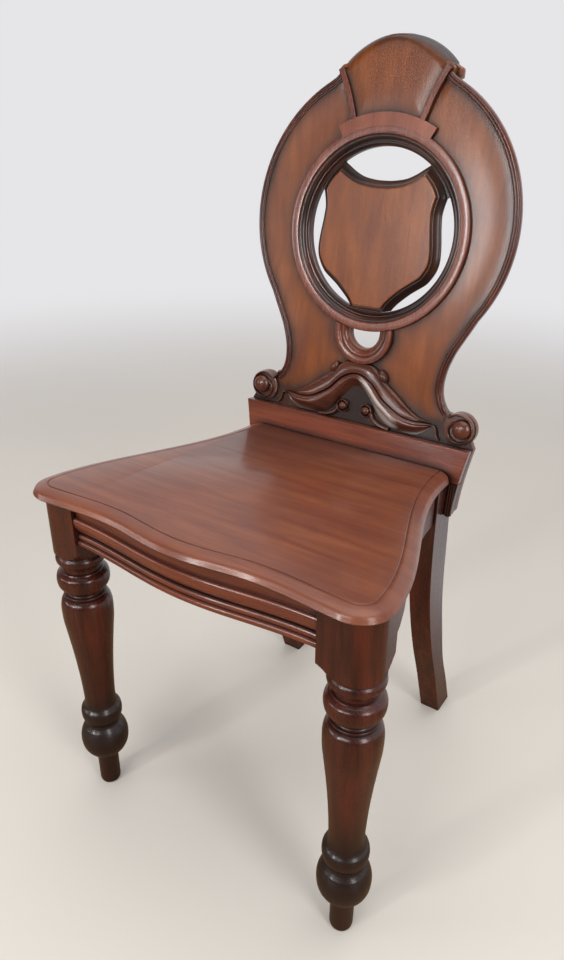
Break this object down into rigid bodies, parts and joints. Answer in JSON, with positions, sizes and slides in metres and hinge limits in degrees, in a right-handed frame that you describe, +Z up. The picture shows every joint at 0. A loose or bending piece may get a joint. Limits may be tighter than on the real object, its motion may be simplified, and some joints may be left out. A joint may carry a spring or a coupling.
{
  "type": "hall chair",
  "caption": "Mahogany hall chair with a shaped board seat, turned front legs, sabre rear legs and a pierced balloon back that holds a shield in a ring.",
  "frame": {"origin": "middle of the chair's box at floor level", "axes": "+Z up, the chair faces -Y, +X is on the right of someone who looks at its front"},
  "size_m": [0.427, 0.4479, 0.8838],
  "materials": {
    "seat": "polished mahogany, grain across the seat",
    "panel": "polished mahogany, upright grain, paler",
    "frame": "polished mahogany, dark",
    "leg": "polished mahogany, very dark",
    "carved": "polished mahogany, dark carving",
    "block": "plain sawn pine",
    "screw": "dull steel"
  },
  "bodies": {
    "root": {"seat_board": "seat", "front_leg_left": "leg", "front_leg_right": "leg", "rear_leg_left": "leg", "rear_leg_right": "leg", "front_rail": "frame", "side_rail_left": "frame", "side_rail_right": "frame", "rear_rail": "frame", "back_board": "panel", "ring_moulding": "carved", "shield_panel": "panel", "hood_label": "carved", "crest_rib_left": "carved", "crest_rib_right": "carved", "crest_panel": "panel", "crest_backing": "frame", "collar_moulding": "carved", "arch_carving": "carved", "scroll_bud_left": "carved", "scroll_bud_right": "carved", "arch_curl_left": "carved", "arch_curl_right": "carved", "volute_left": "carved", "volute_right": "carved", "plinth_bar": "frame", "reeded_drop_left": "carved", "reeded_drop_right": "carved", "glue_block_front_left": "block", "seat_screw_front_left": "screw", "glue_block_front_right": "block", "seat_screw_front_right": "screw", "glue_block_rear_left": "block", "seat_screw_rear_left": "screw", "glue_block_rear_right": "block", "seat_screw_rear_right": "screw", "shield_dowel_left": "frame", "shield_dowel_right": "frame", "shield_dowel_foot": "frame", "back_screw_rail_left": "screw", "back_screw_rail_right": "screw", "back_screw_leg_left": "screw", "back_screw_leg_right": "screw"}
  },
  "joints": []
}
